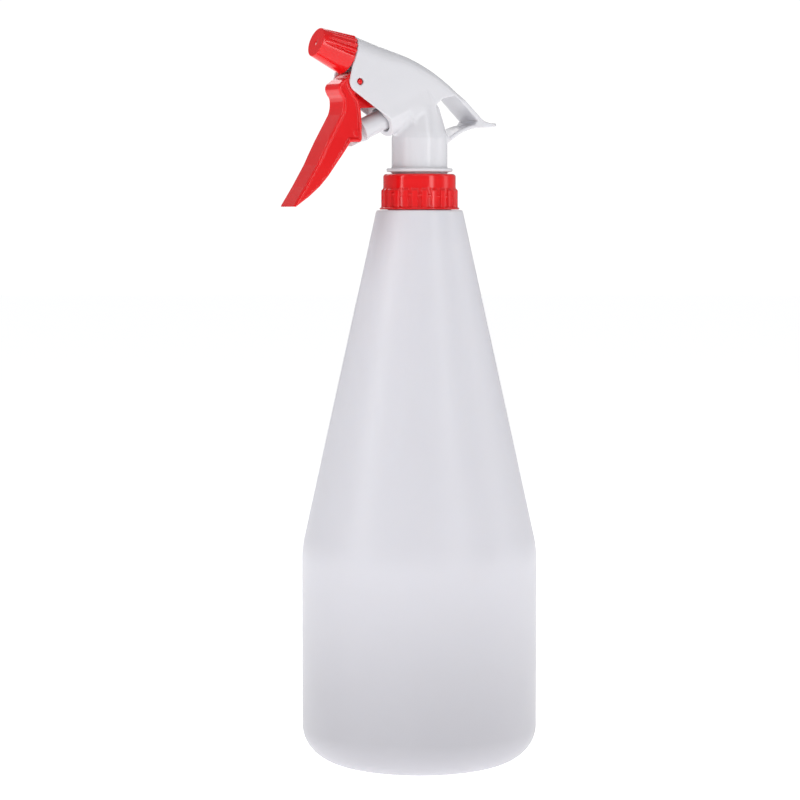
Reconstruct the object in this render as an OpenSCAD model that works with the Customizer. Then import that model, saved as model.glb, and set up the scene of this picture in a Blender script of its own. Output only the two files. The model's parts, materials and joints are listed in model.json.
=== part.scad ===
// Hand mister: a one-litre bottle with a screw-on trigger sprayer.
// Millimetres. +Z is up, the nozzle points along -X, and the origin is the
// centre of the bottle's base. Everything is symmetric about the plane y = 0.

/* [Bottle] */
// Diameter of the bottle's straight wall
bottle_d = 94; // [90:1:98]
// Height of the sharp corner between wall and cone, before rounding
shoulder_z = 86; // [80:1:92]
// Height of the cone's top, where the neck finish starts
cone_top_z = 220.8; // [218:0.1:221]
// Wall thickness of the bottle
bottle_wall = 1.4; // [1.0:0.1:2.0]
// Radius that rounds the wall into the cone
shoulder_r = 45.8; // [30:0.1:50]

/* [Neck finish and collar] */
// Diameter over the neck's thread
thread_d = 27.3; // [27.0:0.1:27.5]
// Diameter of the neck under the thread
finish_d = 24.9; // [24.7:0.1:25.0]
// Bore of the neck
neck_bore_d = 21.6; // [21.4:0.1:21.8]
// Height of the neck finish
finish_h = 10.2; // [10.1:0.1:10.3]
// Axial rise of the closure thread in one turn
thread_pitch = 4.23; // [4.2:0.01:4.3]
// Diameter of the collar's grip band
collar_d = 30.5; // [30.3:0.1:31]
// Number of grip slots around the collar
collar_slots = 24; // [16:1:28]

/* [Sprayer head] */
// Width of the housing over its side plates
head_w = 14.8; // [14.6:0.1:15.2]
// Thickness of the side plates
plate_t = 1.1; // [1.0:0.1:1.2]
// Outer diameter of the housing's neck tube
neck_tube_d = 22.1; // [21.9:0.1:22.3]
// Thickness of the strap down to the hand rest
strap_t = 2.1; // [1.8:0.1:2.4]

/* [Trigger and pump] */
// Full pull of the trigger, in degrees
pull_angle = 25; // [10:1:25]
// Width of the trigger
trigger_w = 12; // [11.6:0.1:12]
// Travel of the piston over the full pull
stroke = 8.5; // [8.3:0.1:8.5]
// Bore of the pump cylinder
pump_bore_d = 10; // [9.9:0.1:10.2]
// Diameter of the piston's stem
stem_d = 8.3; // [8.0:0.1:8.5]
// Number of coils in the return spring
spring_coils = 12; // [8:1:14]

/* [Nozzle] */
// Diameter of the nozzle cap at its rear
cap_rear_d = 16; // [15.8:0.1:16.2]
// Diameter of the nozzle cap at its front
cap_front_d = 11.8; // [11.4:0.1:12.4]
// Length of the nozzle cap
cap_l = 14.3; // [14:0.1:15]
// Diameter of the spray orifice
orifice_d = 0.7; // [0.5:0.1:1.0]
// Number of grip flutes over the top half of the nozzle cap
cap_flutes = 10; // [6:1:10]
// Axial travel of the nozzle cap in one turn
nozzle_lead = 2.4; // [2.2:0.1:2.6]

/* [Hidden] */
$fn = 96;
fit = 0.05;           // gap between pieces pushed together
free = 0.3;           // gap between pieces that pass each other
eps = 0.01;

// Bottle heights and radii.
bottle_r = bottle_d / 2;
cone_top_r = 17.3;
cone_angle = atan((bottle_r - cone_top_r) / (cone_top_z - shoulder_z));
base_flat_r = 30.6;
base_corner_h = 14.5;
lip_z = cone_top_z + finish_h;

// Stack of the closure, upwards from the lip of the bottle.
gasket_t = 1.3;
flange_t = 1.0;
gasket_z = lip_z + fit;
flange_z = gasket_z + gasket_t + fit;
flange_top_z = flange_z + flange_t;
collar_z = cone_top_z + 0.2;
collar_top_z = 235.1;
collar_roof_z = flange_top_z + 0.1;
collar_upper_r = 14.4;
collar_rim_r = collar_d / 2 + 0.6;
thread_root_r = thread_d / 2 + 0.35;
thread_start = 2.3;   // height of the thread's first turn above the cone's top
neck_turns = 1.4;
collar_band_z = 221.9;
collar_step_z = 228.6;
collar_round_r = 1.2;
slot_r = 0.75;        // half the width of a grip slot
disc_z = 235.9;       // underside of the housing's flange disc
disc_t = 1.4;
disc_r = 13.1;

// Housing neck.
neck_r = neck_tube_d / 2;
neck_top_z = 250;     // end of the straight tube
column_top_z = 263;   // the tube has narrowed into the plates here
column_top_r = 7.3;
cavity_r = 9.3;
cavity_top_z = 249;
adapter_top_z = 243;
riser_r = 1.6;
ball_r = 2.5;
ball_lift = 0.8;
ball_seat_z = 237.5;
ball_seat_r = 1.9;
tube_r = 2.6;
tube_bore_r = 1.9;
tube_bottom_z = 6;

// Trigger pivot, in the X-Z plane.
pivot = [-30.9, 270.6];
ear_r = 4.4;
hub_r = 4.2;
trunnion_r = 1.45;
plate_y = head_w / 2 - plate_t;   // inner face of a side plate

// Pump axis: starts at the cylinder's mouth and runs back and up.
pump_slope = 24.5;
mouth = [-17.5, 256.2];
boss_r = 7.2;
bore_end = 18.5;      // depth of the cylinder
piston_rear = 9;      // depth of the piston at rest
stem_front = -9.3;    // the stem's flange starts here
flange_front = -10.5;
tongue_front = -17.2;
bar_s = -15;          // the trigger's cross bar, along and across the pump axis
bar_n = 0.6;
bar_r = 1.3;
piston_bore_r = 2.9;
spring_r = 2.25;
spring_wire = 0.7;

// Nozzle axis: starts at the cap's rear face and runs forward and up.
nozzle_slope = 18.5;
nozzle = [-32.9, 281.2];
barrel_top_r = 7.7;
barrel_l = 20.9;      // length of the half-round roof over the barrel
roof_t = 1.3;         // thickness of the roof
vent_x = -8.85;       // vent hole, between the piston seals while the trigger is at rest
vent_r = 0.4;
outlet_x = -3.2;      // bore from the pump up to the barrel
outlet_r = 1.2;
barrel_bore_r = 1.5;
riser_pipe_r = 3.6;
barrel_r = 3.9;
barrel_back = -31.5;
spigot_r = 4.9;
spigot_l = 9.2;
core_bore_r = 3.2;
cap_bore_r = 5.8;
cap_socket_l = 10.2;
flute_from = -90;     // angle of the first flute from the cap's top, towards the near side
flute_pitch = 20;
flute_r = 0.9;
seal_s = [5.4, 7.7];  // places of the piston's seals along the pump's axis
seal_groove_r = 4.0;
seal_l = 1.0;

// Helpers.
function arc(c, r, a0, a1, n = 12) =
    [for (i = [0:n]) let (a = a0 + (a1 - a0) * i / n) c + r * [cos(a), sin(a)]];
// Centre of an arc that starts at p with the given downward slope, bending down.
function under(p, slope, r) = p - r * [sin(slope), cos(slope)];
// A point at distance s along the pump axis and n above it.
function pump_at(s, n = 0) =
    mouth + s * [cos(pump_slope), sin(pump_slope)] + n * [-sin(pump_slope), cos(pump_slope)];
// A point at distance s along the nozzle axis and n above it.
function nozzle_at(s, n = 0) =
    nozzle + s * [-cos(nozzle_slope), sin(nozzle_slope)]
           + n * [sin(nozzle_slope), cos(nozzle_slope)];

// Puts children drawn along +Z on the pump axis or the nozzle axis.
module on_pump() { translate([mouth[0], 0, mouth[1]]) rotate([0, 90 - pump_slope, 0]) children(); }
module on_nozzle() { translate([nozzle[0], 0, nozzle[1]]) rotate([0, nozzle_slope - 90, 0]) children(); }
// Extrudes an X-Z outline to the given width, centred on y = 0.
module slab(w) { translate([0, w / 2, 0]) rotate([90, 0, 0]) linear_extrude(w) children(); }
module ring(ro, ri, h) { difference() { cylinder(r = ro, h = h); translate([0, 0, -1]) cylinder(r = ri, h = h + 2); } }

// A screw thread rib: a four-sided section swept along a helix.
module thread_rib(r_root, r_crest, w_root, w_crest, pitch, turns, steps = 40) {
    n = ceil(turns * steps);
    section = [[r_root, -w_root / 2], [r_crest, -w_crest / 2], [r_crest, w_crest / 2], [r_root, w_root / 2]];
    pts = [for (i = [0:n]) let (a = 360 * turns * i / n)
               for (p = section) [p[0] * cos(a), p[0] * sin(a), p[1] + pitch * a / 360]];
    sides = [for (i = [0:n - 1]) for (k = [0:3]) let (a = 4 * i + k, b = 4 * i + (k + 1) % 4)
                 each [[a, b, a + 4], [b, b + 4, a + 4]]];
    far = 4 * n;
    ends = [[0, 2, 1], [0, 3, 2], [far, far + 1, far + 2], [far, far + 2, far + 3]];
    faces = concat(sides, ends);
    // A rib that points inwards has its section turned over, so its faces are too.
    polyhedron(pts, r_crest > r_root ? faces : [for (f = faces) [f[2], f[1], f[0]]]);
}

// A round wire wound on a helix along +Z.
module coil(r, wire, length, turns, steps = 16, sides = 8) {
    n = turns * steps;
    pts = [for (i = [0:n]) let (a = 360 * i / steps, z = length * i / n)
               for (k = [0:sides - 1]) let (b = 360 * k / sides)
                   [(r + wire / 2 * cos(b)) * cos(a), (r + wire / 2 * cos(b)) * sin(a),
                    z + wire / 2 * sin(b)]];
    skin = [for (i = [0:n - 1]) for (k = [0:sides - 1])
                let (a = sides * i + k, b = sides * i + (k + 1) % sides)
                each [[a, b, a + sides], [b, b + sides, a + sides]]];
    caps = [[for (k = [sides - 1:-1:0]) k], [for (k = [0:sides - 1]) sides * n + k]];
    polyhedron(pts, concat(skin, caps));
}

// The bottle's outline from its base to the cone's top, moved inwards by t.
function bottle_side(t) =
    let (tan_l = shoulder_r * tan(cone_angle / 2),
         c = [bottle_r - shoulder_r, shoulder_z - tan_l],
         corner = [for (i = [0:12]) let (a = -90 + 90 * i / 12)
                       [base_flat_r + (bottle_r - base_flat_r - t) * cos(a),
                        base_corner_h + (base_corner_h - t) * sin(a)]],
         bend = arc(c, shoulder_r - t, 0, cone_angle, 6))
    concat([[0, t]], corner, bend,
           [[cone_top_r - t * 0.9, cone_top_z - 0.8 - t], [cone_top_r - 0.8 - t, cone_top_z - t]]);

module bottle() {
    finish_r = finish_d / 2;
    color([0.87, 0.87, 0.89]) union() {
        difference() {
            rotate_extrude() polygon(concat(bottle_side(0),
                [[finish_r, cone_top_z], [finish_r, lip_z - 0.4], [finish_r - 0.4, lip_z], [0, lip_z]]));
            rotate_extrude() polygon(concat(bottle_side(bottle_wall),
                [[neck_bore_d / 2, cone_top_z - bottle_wall - 1], [neck_bore_d / 2, lip_z + 1], [0, lip_z + 1]]));
        }
        translate([0, 0, cone_top_z + thread_start])
            thread_rib(finish_r - 0.4, thread_d / 2, 2.5, 1.2, thread_pitch, neck_turns);
    }
}

module collar() {
    band_r = collar_d / 2;
    band_z = collar_band_z;
    step_z = collar_step_z;
    round_r = collar_round_r;
    wall_r = collar_upper_r - round_r;
    color([0.9, 0.12, 0.12]) union() {
        difference() {
            rotate_extrude() polygon(concat(
                [[thread_root_r, collar_z], [collar_rim_r, collar_z], [collar_rim_r, band_z - 0.2],
                 [band_r, band_z], [band_r, step_z], [collar_upper_r, step_z + 0.5]],
                arc([collar_upper_r - round_r, collar_top_z - round_r], round_r, 0, 90, 6),
                [[neck_r + free, collar_top_z], [neck_r + free, collar_roof_z], [wall_r, collar_roof_z],
                 [wall_r, lip_z - 0.6], [thread_root_r, lip_z - 1.2]]));
            for (i = [0:collar_slots - 1]) rotate(360 * (i + 0.5) / collar_slots)
                translate([band_r + slot_r / 2, 0, band_z]) cylinder(r = slot_r, h = step_z - band_z - 0.8, $fn = 24);
        }
        translate([0, 0, cone_top_z + thread_start + thread_pitch / 2])
            thread_rib(thread_root_r + 0.3, finish_d / 2 + 0.3, 1.25, 0.8, thread_pitch, 1.0);
    }
}

module neck_gasket() {
    color([0.93, 0.93, 0.9]) translate([0, 0, gasket_z])
        ring(finish_d / 2 + 0.2, neck_bore_d / 2 - 0.6, gasket_t);
}

module tube_adapter() {
    socket_z = 223;
    color([0.92, 0.92, 0.93]) difference() {
        union() {
            translate([0, 0, flange_z]) cylinder(r = 12.8, h = flange_t);
            translate([0, 0, flange_z]) cylinder(r = cavity_r - fit, h = adapter_top_z - flange_z);
            translate([0, 0, socket_z]) cylinder(r = 4.2, h = flange_z - socket_z + eps);
        }
        // Tube socket, ball seat, ball chamber and the vent to the bottle.
        translate([0, 0, socket_z - 1]) cylinder(r = tube_r + fit, h = 12 + 1);
        cylinder(r = ball_seat_r, h = ball_seat_z + 1);
        translate([0, 0, ball_seat_z]) cylinder(r = ball_r + 0.35, h = adapter_top_z - ball_seat_z + 1);
        translate([0, 0, flange_top_z + 0.5]) ring(7.6, 6, 20);
        for (a = [0, 90, 180, 270]) rotate(a) translate([6.8, 0, flange_z - 1]) cylinder(r = 0.9, h = 20, $fn = 24);
    }
}

module inlet_ball() {
    drop = sqrt(pow(ball_r, 2) - pow(ball_seat_r, 2));
    color([0.8, 0.82, 0.84]) translate([0, 0, ball_seat_z + drop + fit]) sphere(r = ball_r, $fn = 48);
}

module dip_tube() {
    color([0.9, 0.92, 0.93]) difference() {
        translate([0, 0, tube_bottom_z]) cylinder(r = tube_r, h = 235 - tube_bottom_z - fit);
        cylinder(r = tube_bore_r, h = 300);
    }
}

module tube_strainer() {
    shell_r = 3.7;
    z0 = 3;
    color([0.9, 0.9, 0.9]) difference() {
        translate([0, 0, z0]) cylinder(r = shell_r, h = 12);
        translate([0, 0, z0 + 1]) cylinder(r = tube_bore_r, h = 20);
        translate([0, 0, tube_bottom_z - fit]) cylinder(r = tube_r + fit, h = 20);
        for (a = [0, 60, 120]) rotate(a) translate([-shell_r - 1, -0.35, z0 + 1.2])
            cube([2 * shell_r + 2, 0.7, 1.4]);
    }
}

// Side outline of the housing: the roof line from barrel to hand rest, then back
// along the hand rest, the neck, the pump axis and the edge of the ears.
roof_start = nozzle_at(-barrel_l, barrel_top_r);
roof_r = 69.9;
roof_slope = 43.7;
roof_c = under(roof_start, nozzle_slope, roof_r);
roof_end = roof_c + roof_r * [sin(roof_slope), cos(roof_slope)];
rest_c = [26.1, 228.8];
rest_r = 25;
rest_t = 1.4;
rest_tip_x = 34.5;
rest_flat_z = rest_c[1] + rest_r;
ear_normal = 235.2;
// A point on the strap at height z, moved inwards by t.
function strap_at(z, t = 0) =
    [roof_end[0] + (roof_end[1] - z) / tan(roof_slope) - t / sin(roof_slope), z];
HOUSING_SIDE = concat(
    [nozzle_at(-0.3, barrel_top_r)],
    arc(roof_c, roof_r, 90 - nozzle_slope, 90 - roof_slope, 16),
    [strap_at(rest_flat_z + rest_t + 0.6)],
    [[rest_tip_x, rest_flat_z + rest_t + 0.3], [rest_tip_x, rest_flat_z + 0.4]],
    arc(rest_c, rest_r, 88, 130, 12),
    [[5, rest_flat_z - 6.5], [-5, rest_flat_z - 2], pump_at(10), pump_at(0.2)],
    arc(pivot, ear_r, ear_normal, 172, 8),
    [nozzle_at(-0.3, -3.6)]);
HAND_WINDOW = concat(
    [[3, rest_flat_z - 3], [3, 262], [7.2, 264.8], strap_at(266, strap_t)],
    [strap_at(rest_flat_z + rest_t + 1.2, strap_t)],
    arc(rest_c, rest_r + rest_t, 100, 128, 8));
// Hollow between the side plates, open at the bottom edge of the ears.
TRIGGER_SPACE = concat(
    [nozzle_at(2, 0), nozzle_at(-barrel_l, 0)],
    arc(roof_c, roof_r - roof_t, 90 - nozzle_slope, 58, 6),
    [[-1, 270], pump_at(bore_end + 1.5, boss_r), pump_at(0, boss_r), pump_at(-2, -4),
     [-40, 255], [-45, 275]]);

module housing_shell() {
    difference() {
        intersection() {
            slab(head_w) polygon(HOUSING_SIDE);
            // Rounded end of the hand rest, seen from above.
            union() {
                translate([-60, -20, 240]) cube([86, 40, 60]);
                translate([rest_tip_x - 7.4, 0, 240]) cylinder(r = 7.4, h = 60);
            }
        }
        slab(head_w + 2) polygon(HAND_WINDOW);
        slab(2 * plate_y) polygon(TRIGGER_SPACE);
    }
}

module housing() {
    color([0.88, 0.88, 0.9]) difference() {
        union() {
            housing_shell();
            // Neck tube, its narrowing top and the flange disc over the collar.
            translate([0, 0, flange_top_z + fit]) cylinder(r = neck_r, h = neck_top_z - flange_top_z - fit);
            translate([0, 0, neck_top_z])
                cylinder(r1 = neck_r, r2 = column_top_r, h = column_top_z - neck_top_z);
            translate([0, 0, disc_z]) cylinder(r = disc_r, h = disc_t);
            // Pump cylinder.
            on_pump() cylinder(r = boss_r, h = bore_end + 1.8);
            // Barrel tube, spigot and the half-round roof over them.
            on_nozzle() translate([0, 0, barrel_back]) cylinder(r = barrel_r, h = -barrel_back);
            on_nozzle() translate([0, 0, -0.3]) cylinder(r = spigot_r, h = spigot_l + 0.3);
            difference() {
                on_nozzle() translate([0, 0, -barrel_l - 0.1]) cylinder(r = barrel_top_r, h = barrel_l - 0.2);
                slab(2 * barrel_top_r + 2) polygon([nozzle_at(5, 0), nozzle_at(-30, 0),
                    nozzle_at(-30, -20), nozzle_at(5, -20)]);
            }
            on_nozzle() translate([0, 0, 1.6])
                thread_rib(spigot_r - 0.3, spigot_r + 0.45, 1.3, 0.6, nozzle_lead, 1.5);
        }
        // Cavity of the neck, leaving the riser pipe in its middle.
        difference() {
            translate([0, 0, flange_z]) cylinder(r = cavity_r, h = cavity_top_z - flange_z);
            translate([0, 0, adapter_top_z + fit]) cylinder(r = riser_pipe_r, h = 20);
        }
        // Bore of the pump and the port at its back.
        on_pump() translate([0, 0, -1]) cylinder(r = pump_bore_d / 2, h = bore_end + 1);
        translate([0, 0, adapter_top_z - 1]) cylinder(r = riser_r, h = 18);
        // Vent from the pump's bore down to the cavity.
        translate([vent_x, 0, cavity_top_z - 1]) cylinder(r = vent_r, h = 8, $fn = 24);
        // Outlet from the pump up to the barrel, and the barrel's bore.
        translate([outlet_x, 0, 265]) cylinder(r = outlet_r, h = 6.5);
        on_nozzle() translate([0, 0, barrel_back + barrel_bore_r]) cylinder(r = barrel_bore_r, h = 60);
        on_nozzle() translate([0, 0, -3]) cylinder(r = core_bore_r, h = 20);
        // Pivot holes of the trigger.
        translate([pivot[0], 0, pivot[1]]) rotate([90, 0, 0])
            cylinder(r = trunnion_r + 0.08, h = 40, center = true);
    }
}

// Side outlines of the trigger.
TRIGGER_FRONT = concat(
    arc([-37.2, 267.7], 2.4, 40, 205, 10),
    [[-38.3, 264.9]],
    arc([-36.0 - 12, 262.0], 10.4, 12, -24, 6),
    [[-44.3, 247.8], [-49.3, 238.2], [-54.4, 229.8], [-59.5, 222.1]]);
TRIGGER_SIDE = concat(
    TRIGGER_FRONT,
    [[-58.3, 222.0], [-52.6, 225.9], [-47.9, 229.8], [-44.2, 233.8], [-40.8, 238.3], [-37.3, 242.9],
     [-34.2, 247.2]],
    arc([-30.6, 248.6], 1.4, -100, 0, 5),
    [[-29.3, 255.0], [-29.7, 259.4], [-30.5, 263.5]]);
// The hollow at the back of the finger plate.
TRIGGER_HOLLOW = [
    [-36.5, 263.5], [-37.7, 257.2], [-42.6, 247.6], [-47.6, 238.0], [-52.6, 229.6], [-57.6, 222.6],
    [-56, 218], [-20, 240], [-20, 258], [-30, 263.5]];
// The ribs beside the piston's tongue, with the stop arm behind the pivot.
TRIGGER_RIB = [[-36.2, 263.9], [-37.9, 256.0], [-35.0, 247.6], [-30.6, 247.4], [-29.4, 250], [-29.8, 260.4],
    [-21.9, 261.2], [-22.6, 264.0], [-27.5, 268.5], [-33, 268]];

// The sloping top of the brow and the block over the hub.
TRIGGER_TOP = [
    [-28.2, 274.9], [-31.6, 274.7], [-33.1, 273.8], [-35.0, 272.3], [-37.2, 271.1], [-39.0, 269.6],
    [-39.4, 268.6], [-38.5, 265.5], [-35.4, 264.5], [-30.9, 266.5], [-27.4, 268]];

module trigger() {
    rib_y = 2.6;
    rib_t = 1.1;
    color([0.9, 0.1, 0.1]) union() {
        difference() {
            slab(trigger_w) polygon(TRIGGER_SIDE);
            slab(trigger_w - 2.4) polygon(TRIGGER_HOLLOW);
        }
        translate([pivot[0], 0, pivot[1]]) rotate([90, 0, 0])
            cylinder(r = hub_r, h = trigger_w, center = true);
        translate([pivot[0], 0, pivot[1]]) rotate([90, 0, 0])
            cylinder(r = trunnion_r, h = head_w + 0.1, center = true);
        slab(trigger_w) polygon(TRIGGER_TOP);
        for (y = [-rib_y - rib_t / 2, rib_y + rib_t / 2]) translate([0, y, 0])
            slab(rib_t) polygon(TRIGGER_RIB);
        translate([pump_at(bar_s, bar_n)[0], 0, pump_at(bar_s, bar_n)[1]]) rotate([90, 0, 0])
            cylinder(r = bar_r, h = trigger_w - 1, center = true);
    }
}

module piston() {
    stem_r = stem_d / 2;
    head_r = pump_bore_d / 2 - 0.3;
    slot_s = bar_r + 0.35;
    color([0.86, 0.86, 0.88]) difference() {
        on_pump() union() {
            translate([0, 0, stem_front]) cylinder(r = stem_r, h = 4.4 - stem_front);
            translate([0, 0, flange_front]) cylinder(r = stem_r + 0.4, h = stem_front - flange_front);
            translate([0, 0, 4.4]) cylinder(r = head_r, h = piston_rear - 4.4);
            // Tongue that reaches the trigger's cross bar.
            translate([-3.7, -2.1, tongue_front]) cube([7.4, 4.2, flange_front - tongue_front + eps]);
        }
        on_pump() translate([0, 0, -7.5]) cylinder(r = piston_bore_r, h = 30);
        on_pump() for (s = seal_s) translate([0, 0, s]) ring(head_r + 1, seal_groove_r, seal_l);
        // Slot for the cross bar, long enough for the bar's arc. +X here is down.
        on_pump() translate([0, 0, bar_s]) {
            slot_low = 1.5;
            slot_high = -bar_n - 0.2;
            translate([slot_high, -5, -slot_s]) cube([slot_low - slot_high, 10, 2 * slot_s]);
            for (x = [slot_high, slot_low]) translate([x, 0, 0]) rotate([90, 0, 0])
                cylinder(r = slot_s, h = 10, center = true);
        }
    }
}

module piston_seal(s) {
    color([0.25, 0.25, 0.27]) on_pump() translate([0, 0, s + fit])
        ring(pump_bore_d / 2 - fit, seal_groove_r + fit, seal_l - 2 * fit);
}
module piston_seal_front() { piston_seal(seal_s[0]); }
module piston_seal_rear() { piston_seal(seal_s[1]); }

module return_spring() {
    color([0.75, 0.76, 0.78]) on_pump() translate([0, 0, -7.5 + spring_wire / 2 + fit])
        coil(spring_r, spring_wire, bore_end + 7.5 - spring_wire - 2 * fit, spring_coils);
}

module outlet_valve() {
    color([0.85, 0.86, 0.88]) on_nozzle() union() {
        translate([0, 0, -3 + fit]) cylinder(r = 2.6, h = 1.0);
        translate([0, 0, -2.1 + fit]) cylinder(r = 0.8, h = 1.6, $fn = 32);
    }
}

module valve_spring() {
    color([0.75, 0.76, 0.78]) on_nozzle() translate([0, 0, -1.9 + 0.15])
        coil(1.7, 0.35, 3.9, 5, 14, 6);
}

module swirl_core() {
    color([0.9, 0.9, 0.91]) on_nozzle() difference() {
        translate([0, 0, 2.4]) cylinder(r = core_bore_r - fit, h = spigot_l - 2.4);
        // Flow grooves along the sides and the swirl slots in the front.
        for (a = [0, 120, 240]) rotate(a) translate([core_bore_r - 0.7, -0.5, 2]) cube([2, 1, 20]);
        for (a = [0, 120, 240]) rotate(a) translate([0.6, -0.3, spigot_l - 0.5]) cube([5, 0.6, 2]);
        translate([0, 0, spigot_l - 0.5]) cylinder(r = 1.1, h = 2);
    }
}

module nozzle_cap() {
    rear_r = cap_rear_d / 2;
    front_r = cap_front_d / 2;
    edge_r = 0.9;
    color([0.92, 0.13, 0.13]) on_nozzle() union() {
        difference() {
            rotate_extrude() polygon(concat(
                [[0, 0.05], [rear_r - 0.3, 0.05], [rear_r, 0.35]],
                arc([front_r - edge_r, cap_l - edge_r], edge_r, 8, 90, 5),
                [[0, cap_l]]));
            translate([0, 0, -1]) cylinder(r = cap_bore_r, h = cap_socket_l + 1);
            translate([0, 0, cap_socket_l - eps]) cylinder(r = 3.3, h = 1.2);
            cylinder(r = orifice_d / 2, h = 30, $fn = 24);
            // Wedge-shaped flutes, deepest at the rear.
            for (i = [0:cap_flutes - 1]) rotate(flute_from + flute_pitch * i)
                translate([rear_r + 0.35, 0, -1]) rotate([0, -11.5, 0]) cylinder(r = flute_r, h = 12, $fn = 20);
        }
        translate([0, 0, 2.8])
            thread_rib(cap_bore_r + 0.3, spigot_r + 0.35, 0.9, 0.5, nozzle_lead, 1.5);
    }
}

module nozzle_seal() {
    color([0.93, 0.93, 0.9]) on_nozzle() translate([0, 0, spigot_l + fit])
        ring(cap_bore_r - fit, 3.4, cap_socket_l - spigot_l - 2 * fit);
}

bottle();
collar();
neck_gasket();
tube_adapter();
inlet_ball();
dip_tube();
tube_strainer();
housing();
trigger();
piston();
piston_seal_front();
piston_seal_rear();
return_spring();
outlet_valve();
valve_spring();
swirl_core();
nozzle_cap();
nozzle_seal();
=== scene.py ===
import json
import math

import bpy
import numpy as np
from mathutils import Matrix, Vector


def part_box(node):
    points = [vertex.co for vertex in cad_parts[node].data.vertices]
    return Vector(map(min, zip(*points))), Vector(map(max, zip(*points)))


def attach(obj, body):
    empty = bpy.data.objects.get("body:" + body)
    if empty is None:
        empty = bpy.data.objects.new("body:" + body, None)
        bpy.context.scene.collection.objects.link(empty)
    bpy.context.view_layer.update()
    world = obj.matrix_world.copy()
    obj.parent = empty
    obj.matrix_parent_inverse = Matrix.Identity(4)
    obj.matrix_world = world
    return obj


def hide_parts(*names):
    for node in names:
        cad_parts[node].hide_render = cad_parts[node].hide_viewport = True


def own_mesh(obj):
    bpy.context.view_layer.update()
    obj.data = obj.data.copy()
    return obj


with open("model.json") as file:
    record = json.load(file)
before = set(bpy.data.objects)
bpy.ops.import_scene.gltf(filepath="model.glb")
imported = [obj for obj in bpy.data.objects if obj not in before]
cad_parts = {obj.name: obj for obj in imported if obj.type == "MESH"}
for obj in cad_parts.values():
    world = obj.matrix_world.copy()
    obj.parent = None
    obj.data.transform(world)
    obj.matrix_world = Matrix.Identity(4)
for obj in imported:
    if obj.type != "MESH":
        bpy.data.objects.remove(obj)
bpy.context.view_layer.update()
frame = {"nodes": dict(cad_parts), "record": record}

MM = 0.001
scene = bpy.context.scene
joints = {j["name"]: j for j in frame["record"]["behaviour"]["joints"]}


# ---------------------------------------------------------------- camera and studio
def make_camera():
    data = bpy.data.cameras.new("studio_camera")
    data.sensor_width = 36
    data.lens = 119.63
    camera = bpy.data.objects.new("studio_camera", data)
    camera.location = (-0.53667, -0.91406, 0.22054)
    camera.rotation_euler = (math.radians(90 - 4.072), 0, math.radians(-30))
    scene.collection.objects.link(camera)
    scene.camera = camera


def softbox(name, azimuth, height, distance, size, watts, aim=(0, 0, 0.15)):
    """A rectangular studio light at a compass angle round the bottle, aimed at it."""
    data = bpy.data.lights.new(name, "AREA")
    data.shape = "RECTANGLE"
    data.size, data.size_y = size
    data.energy = watts
    light = bpy.data.objects.new(name, data)
    a = math.radians(azimuth)
    light.location = (math.sin(a) * distance, -math.cos(a) * distance, height)
    way = Vector(aim) - light.location
    light.rotation_euler = way.to_track_quat("-Z", "Y").to_euler()
    scene.collection.objects.link(light)


def make_world(shown, ambient):
    """A white backdrop for the camera, and a softer white all round for the light."""
    world = bpy.data.worlds.new("studio_world")
    world.use_nodes = True
    tree = world.node_tree
    tree.nodes.clear()
    path = tree.nodes.new("ShaderNodeLightPath")
    backdrop = tree.nodes.new("ShaderNodeBackground")
    backdrop.inputs["Color"].default_value = (1, 1, 1, 1)
    backdrop.inputs["Strength"].default_value = shown
    fill = tree.nodes.new("ShaderNodeBackground")
    fill.inputs["Color"].default_value = (0.97, 0.98, 1.0, 1)
    fill.inputs["Strength"].default_value = ambient
    mix = tree.nodes.new("ShaderNodeMixShader")
    out = tree.nodes.new("ShaderNodeOutputWorld")
    tree.links.new(path.outputs["Is Camera Ray"], mix.inputs["Fac"])
    tree.links.new(fill.outputs[0], mix.inputs[1])
    tree.links.new(backdrop.outputs[0], mix.inputs[2])
    tree.links.new(mix.outputs[0], out.inputs["Surface"])
    scene.world = world


def make_floor():
    material = bpy.data.materials.new("floor_paper")
    material.use_nodes = True
    shader = material.node_tree.nodes["Principled BSDF"]
    shader.inputs["Base Color"].default_value = (0.86, 0.86, 0.87, 1)
    shader.inputs["Roughness"].default_value = 0.9
    shader.inputs["Emission Color"].default_value = (1, 1, 1, 1)
    shader.inputs["Emission Strength"].default_value = 0.74
    mesh = bpy.data.meshes.new("floor")
    r, n = 6.0, 64
    rim = [(r * math.cos(2 * math.pi * i / n), r * math.sin(2 * math.pi * i / n), 0) for i in range(n)]
    mesh.from_pydata(rim, [], [list(range(n))])
    mesh.materials.append(material)
    floor = bpy.data.objects.new("floor", mesh)
    scene.collection.objects.link(floor)


make_camera()
make_world(1.05, 0.30)
make_floor()
softbox("softbox_left", -92, 0.62, 1.1, (0.3, 1.0), 3.9)
softbox("softbox_right", 8, 0.5, 1.2, (0.25, 1.0), 3.3)
softbox("softbox_side", 62, 0.5, 1.2, (0.4, 1.0), 1.7)
softbox("softbox_top", -30, 1.3, 0.6, (0.9, 0.5), 1.8, aim=(0, 0, 0.25))
softbox("softbox_back", 165, 0.85, 0.9, (0.9, 0.5), 2.4, aim=(0, 0, 0.25))
scene.view_settings.view_transform = "Standard"


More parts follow.
